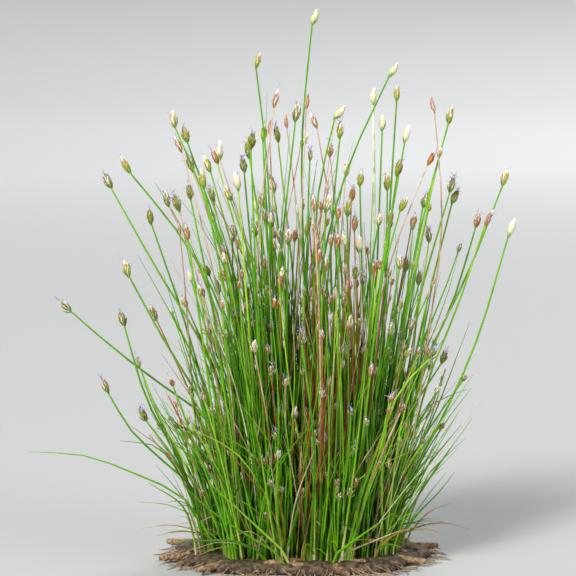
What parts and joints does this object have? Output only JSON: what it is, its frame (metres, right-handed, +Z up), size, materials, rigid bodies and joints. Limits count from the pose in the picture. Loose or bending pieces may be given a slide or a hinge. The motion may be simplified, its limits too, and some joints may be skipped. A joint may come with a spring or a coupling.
{
  "type": "dwarf hairgrass",
  "caption": "Tuft of fine upright rush-like stems, many ending in a small spikelet, fanning from a low mat of rhizomes cut off flat underneath.",
  "frame": {"origin": "middle of the flat cut face under the crown, at ground level", "axes": "+Z up along the stems, +X to the right as seen from the front, +Y to the back"},
  "size_m": [0.1067, 0.063, 0.1218],
  "materials": {
    "rhizome": "matte, fibrous, pale brown",
    "green_stem": "fresh green, slightly glossy, yellow-green where lit",
    "dry_stem": "dry straw, cream to tan, matte",
    "rust_stem": "withered rust brown, matte"
  },
  "bodies": {
    "root": {"crown": "rhizome", "tallest_culm": "green_stem", "centre_leaning_culm": "green_stem", "centre_shoot_1": "green_stem", "centre_shoot_2": "green_stem", "centre_shoot_3": "green_stem", "centre_shoot_4": "green_stem", "centre_shoot_5": "green_stem", "centre_shoot_6": "dry_stem", "centre_shoot_7": "green_stem", "centre_shoot_8": "dry_stem", "centre_shoot_9": "green_stem", "centre_shoot_10": "green_stem", "centre_shoot_11": "dry_stem", "centre_shoot_12": "green_stem", "centre_shoot_13": "rust_stem", "centre_shoot_14": "green_stem", "centre_shoot_15": "green_stem", "centre_shoot_16": "rust_stem", "centre_shoot_17": "green_stem", "centre_shoot_18": "green_stem", "centre_shoot_19": "dry_stem", "centre_shoot_20": "rust_stem", "left_outer_culm": "green_stem", "left_high_culm": "green_stem", "left_reaching_culm": "green_stem", "left_low_culm": "green_stem", "left_bent_culm": "green_stem", "left_plantlet": "green_stem", "plantlet_leaves": "green_stem", "long_left_leaf": "green_stem", "left_arching_leaf": "green_stem", "left_short_leaves": "green_stem", "left_shoot_1": "green_stem", "left_shoot_2": "green_stem", "left_shoot_3": "dry_stem", "left_shoot_4": "green_stem", "left_shoot_5": "green_stem", "left_shoot_6": "dry_stem", "left_shoot_7": "rust_stem", "left_shoot_8": "green_stem", "left_shoot_9": "green_stem", "left_shoot_10": "rust_stem", "front_arching_leaf": "green_stem", "front_left_leaves": "green_stem", "front_right_leaves": "green_stem", "right_pale_culm": "dry_stem", "right_high_culms": "green_stem", "right_outer_culm": "green_stem", "right_arching_leaf": "green_stem", "right_low_shoot": "green_stem", "right_rust_shoot": "rust_stem", "right_shoot_1": "green_stem", "right_shoot_2": "green_stem", "right_shoot_3": "green_stem", "right_shoot_4": "green_stem", "right_shoot_5": "green_stem", "right_shoot_6": "green_stem", "right_shoot_7": "green_stem", "right_shoot_8": "green_stem"}
  },
  "joints": []
}
